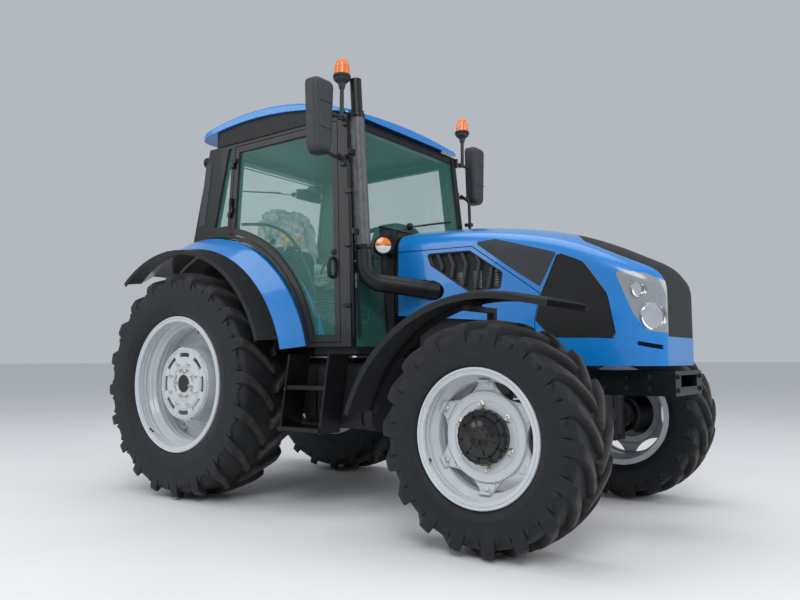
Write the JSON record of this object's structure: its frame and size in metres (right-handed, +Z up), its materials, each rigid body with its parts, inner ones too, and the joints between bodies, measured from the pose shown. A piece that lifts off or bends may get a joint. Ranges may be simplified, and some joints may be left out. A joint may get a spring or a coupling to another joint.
{
  "type": "farm tractor",
  "caption": "Four-wheel-drive farm tractor with glazed cab, tilting hood, steered front axle, doors and rear three-point hitch.",
  "frame": {"origin": "on the ground, midway along the tractor and on its centre line", "axes": "+X forward, +Y left, +Z up"},
  "size_m": [4.2, 2.236, 2.797],
  "materials": {
    "blue_paint": "gloss",
    "black_paint": "satin",
    "black_plastic": "textured matte",
    "silver_paint": "satin",
    "cast_iron": "painted, matte",
    "tyre": "matte",
    "glass": "tinted",
    "lamp": "clear",
    "red_lens": "clear",
    "dark_trim": "satin",
    "amber": "clear",
    "steel": "bare",
    "fabric": "woven"
  },
  "bodies": {
    "root": {"engine": "cast_iron", "transmission": "cast_iron", "rear_axle": "cast_iron", "front_support": "black_paint", "front_axle": "cast_iron", "hood_sides": "blue_paint", "cowl": "black_plastic", "exhaust": "black_paint", "side_tanks": "black_plastic", "steps": "black_paint", "cab_frame": "black_paint", "cab_floor": "black_plastic", "roof": "blue_paint", "front_glass": "glass", "rear_glass": "glass", "seat": "fabric", "rear_fenders": "blue_paint", "fender_extensions": "black_plastic", "mirrors": "black_plastic", "amber_lamps": "amber", "drawbar": "cast_iron", "hood_vents": "black_plastic", "roof_tray": "black_plastic", "work_lamps": "lamp", "rear_lamps": "red_lens", "top_link": "black_paint"},
    "rear_wheel_right": {"rear_tyre_right": "tyre", "rear_rim_right": "silver_paint"},
    "knuckle_right": {"knuckle_right": "cast_iron", "front_fender_right": "black_plastic"},
    "front_wheel_right": {"front_tyre_right": "tyre", "front_rim_right": "silver_paint", "front_hub_right": "black_paint"},
    "door_right": {"door_frame_right": "black_paint", "door_glass_right": "glass"},
    "rear_wheel_left": {"rear_tyre_left": "tyre", "rear_rim_left": "silver_paint"},
    "knuckle_left": {"knuckle_left": "cast_iron", "front_fender_left": "black_plastic"},
    "front_wheel_left": {"front_tyre_left": "tyre", "front_rim_left": "silver_paint", "front_hub_left": "black_paint"},
    "door_left": {"door_frame_left": "black_paint", "door_glass_left": "glass"},
    "steering_rod": {"steering_rod": "steel"},
    "steering_wheel": {"steering_wheel": "black_plastic"},
    "hood": {"hood_shell": "blue_paint", "hood_grilles": "black_plastic", "hood_trim": "dark_trim", "headlamps": "lamp"},
    "lift_arms": {"lift_arms": "cast_iron"},
    "lift_rods": {"lift_rods": "black_paint"},
    "lower_links": {"lower_links": "black_paint"}
  },
  "joints": [
    {"name": "rear_wheel_right_turn", "type": "hinge", "parent": "root", "child": "rear_wheel_right", "pos_m": [-0.97, -0.783, 0.762], "axis": [0, 1, 0], "continuous": true},
    {"name": "steer_right", "type": "hinge", "parent": "root", "child": "knuckle_right", "pos_m": [1.43, -0.7, 0.555], "axis": [0, 0, 1], "range_deg": [-35, 35]},
    {"name": "front_wheel_right_turn", "type": "hinge", "parent": "knuckle_right", "child": "front_wheel_right", "pos_m": [1.43, -0.928, 0.555], "axis": [0, 1, 0], "continuous": true},
    {"name": "door_right_swing", "type": "hinge", "parent": "root", "child": "door_right", "pos_m": [-0.8075, -0.73698, 1.00073], "axis": [0, -0.061, -0.9981], "range_deg": [0, 80]},
    {"name": "rear_wheel_left_turn", "type": "hinge", "parent": "root", "child": "rear_wheel_left", "pos_m": [-0.97, 0.783, 0.762], "axis": [0, 1, 0], "continuous": true},
    {"name": "steer_left", "type": "hinge", "parent": "root", "child": "knuckle_left", "pos_m": [1.43, 0.7, 0.555], "axis": [0, 0, 1], "range_deg": [-35, 35]},
    {"name": "front_wheel_left_turn", "type": "hinge", "parent": "knuckle_left", "child": "front_wheel_left", "pos_m": [1.43, 0.928, 0.555], "axis": [0, 1, 0], "continuous": true},
    {"name": "door_left_swing", "type": "hinge", "parent": "root", "child": "door_left", "pos_m": [-0.8075, 0.73698, 1.00073], "axis": [0, -0.061, 0.9981], "range_deg": [0, 80]},
    {"name": "tie_rod_slide", "type": "slide", "parent": "root", "child": "steering_rod", "axis": [0, 1, 0], "range_m": [-0.1, 0.1]},
    {"name": "steering_wheel_turn", "type": "hinge", "parent": "root", "child": "steering_wheel", "pos_m": [-0.09, 0, 1.73], "axis": [-0.5736, 0, 0.8192], "range_deg": [-475, 475]},
    {"name": "hood_tilt", "type": "hinge", "parent": "root", "child": "hood", "pos_m": [0.432, 0, 1.726], "axis": [0, -1, 0], "range_deg": [0, 45]},
    {"name": "lift", "type": "hinge", "parent": "root", "child": "lift_arms", "pos_m": [-1.3, 0, 0.905], "axis": [0, 1, 0], "range_deg": [-15, 30]},
    {"name": "lift_rod_pivot", "type": "hinge", "parent": "lift_arms", "child": "lift_rods", "pos_m": [-1.72, 0, 0.905], "axis": [0, 1, 0], "range_deg": [-30, 15]},
    {"name": "lower_link_pivot", "type": "hinge", "parent": "root", "child": "lower_links", "pos_m": [-1.3, 0, 0.48], "axis": [0, 1, 0], "range_deg": [-15, 30]}
  ],
  "couplings": [
    {"joint": "steer_left", "follows": "steer_right", "ratio": 1},
    {"joint": "tie_rod_slide", "follows": "steer_right", "m_per_rad": -0.15962},
    {"joint": "steering_wheel_turn", "follows": "steer_right", "ratio": 13.5},
    {"joint": "lift_rod_pivot", "follows": "lift", "ratio": -1},
    {"joint": "lower_link_pivot", "follows": "lift", "ratio": 1}
  ]
}
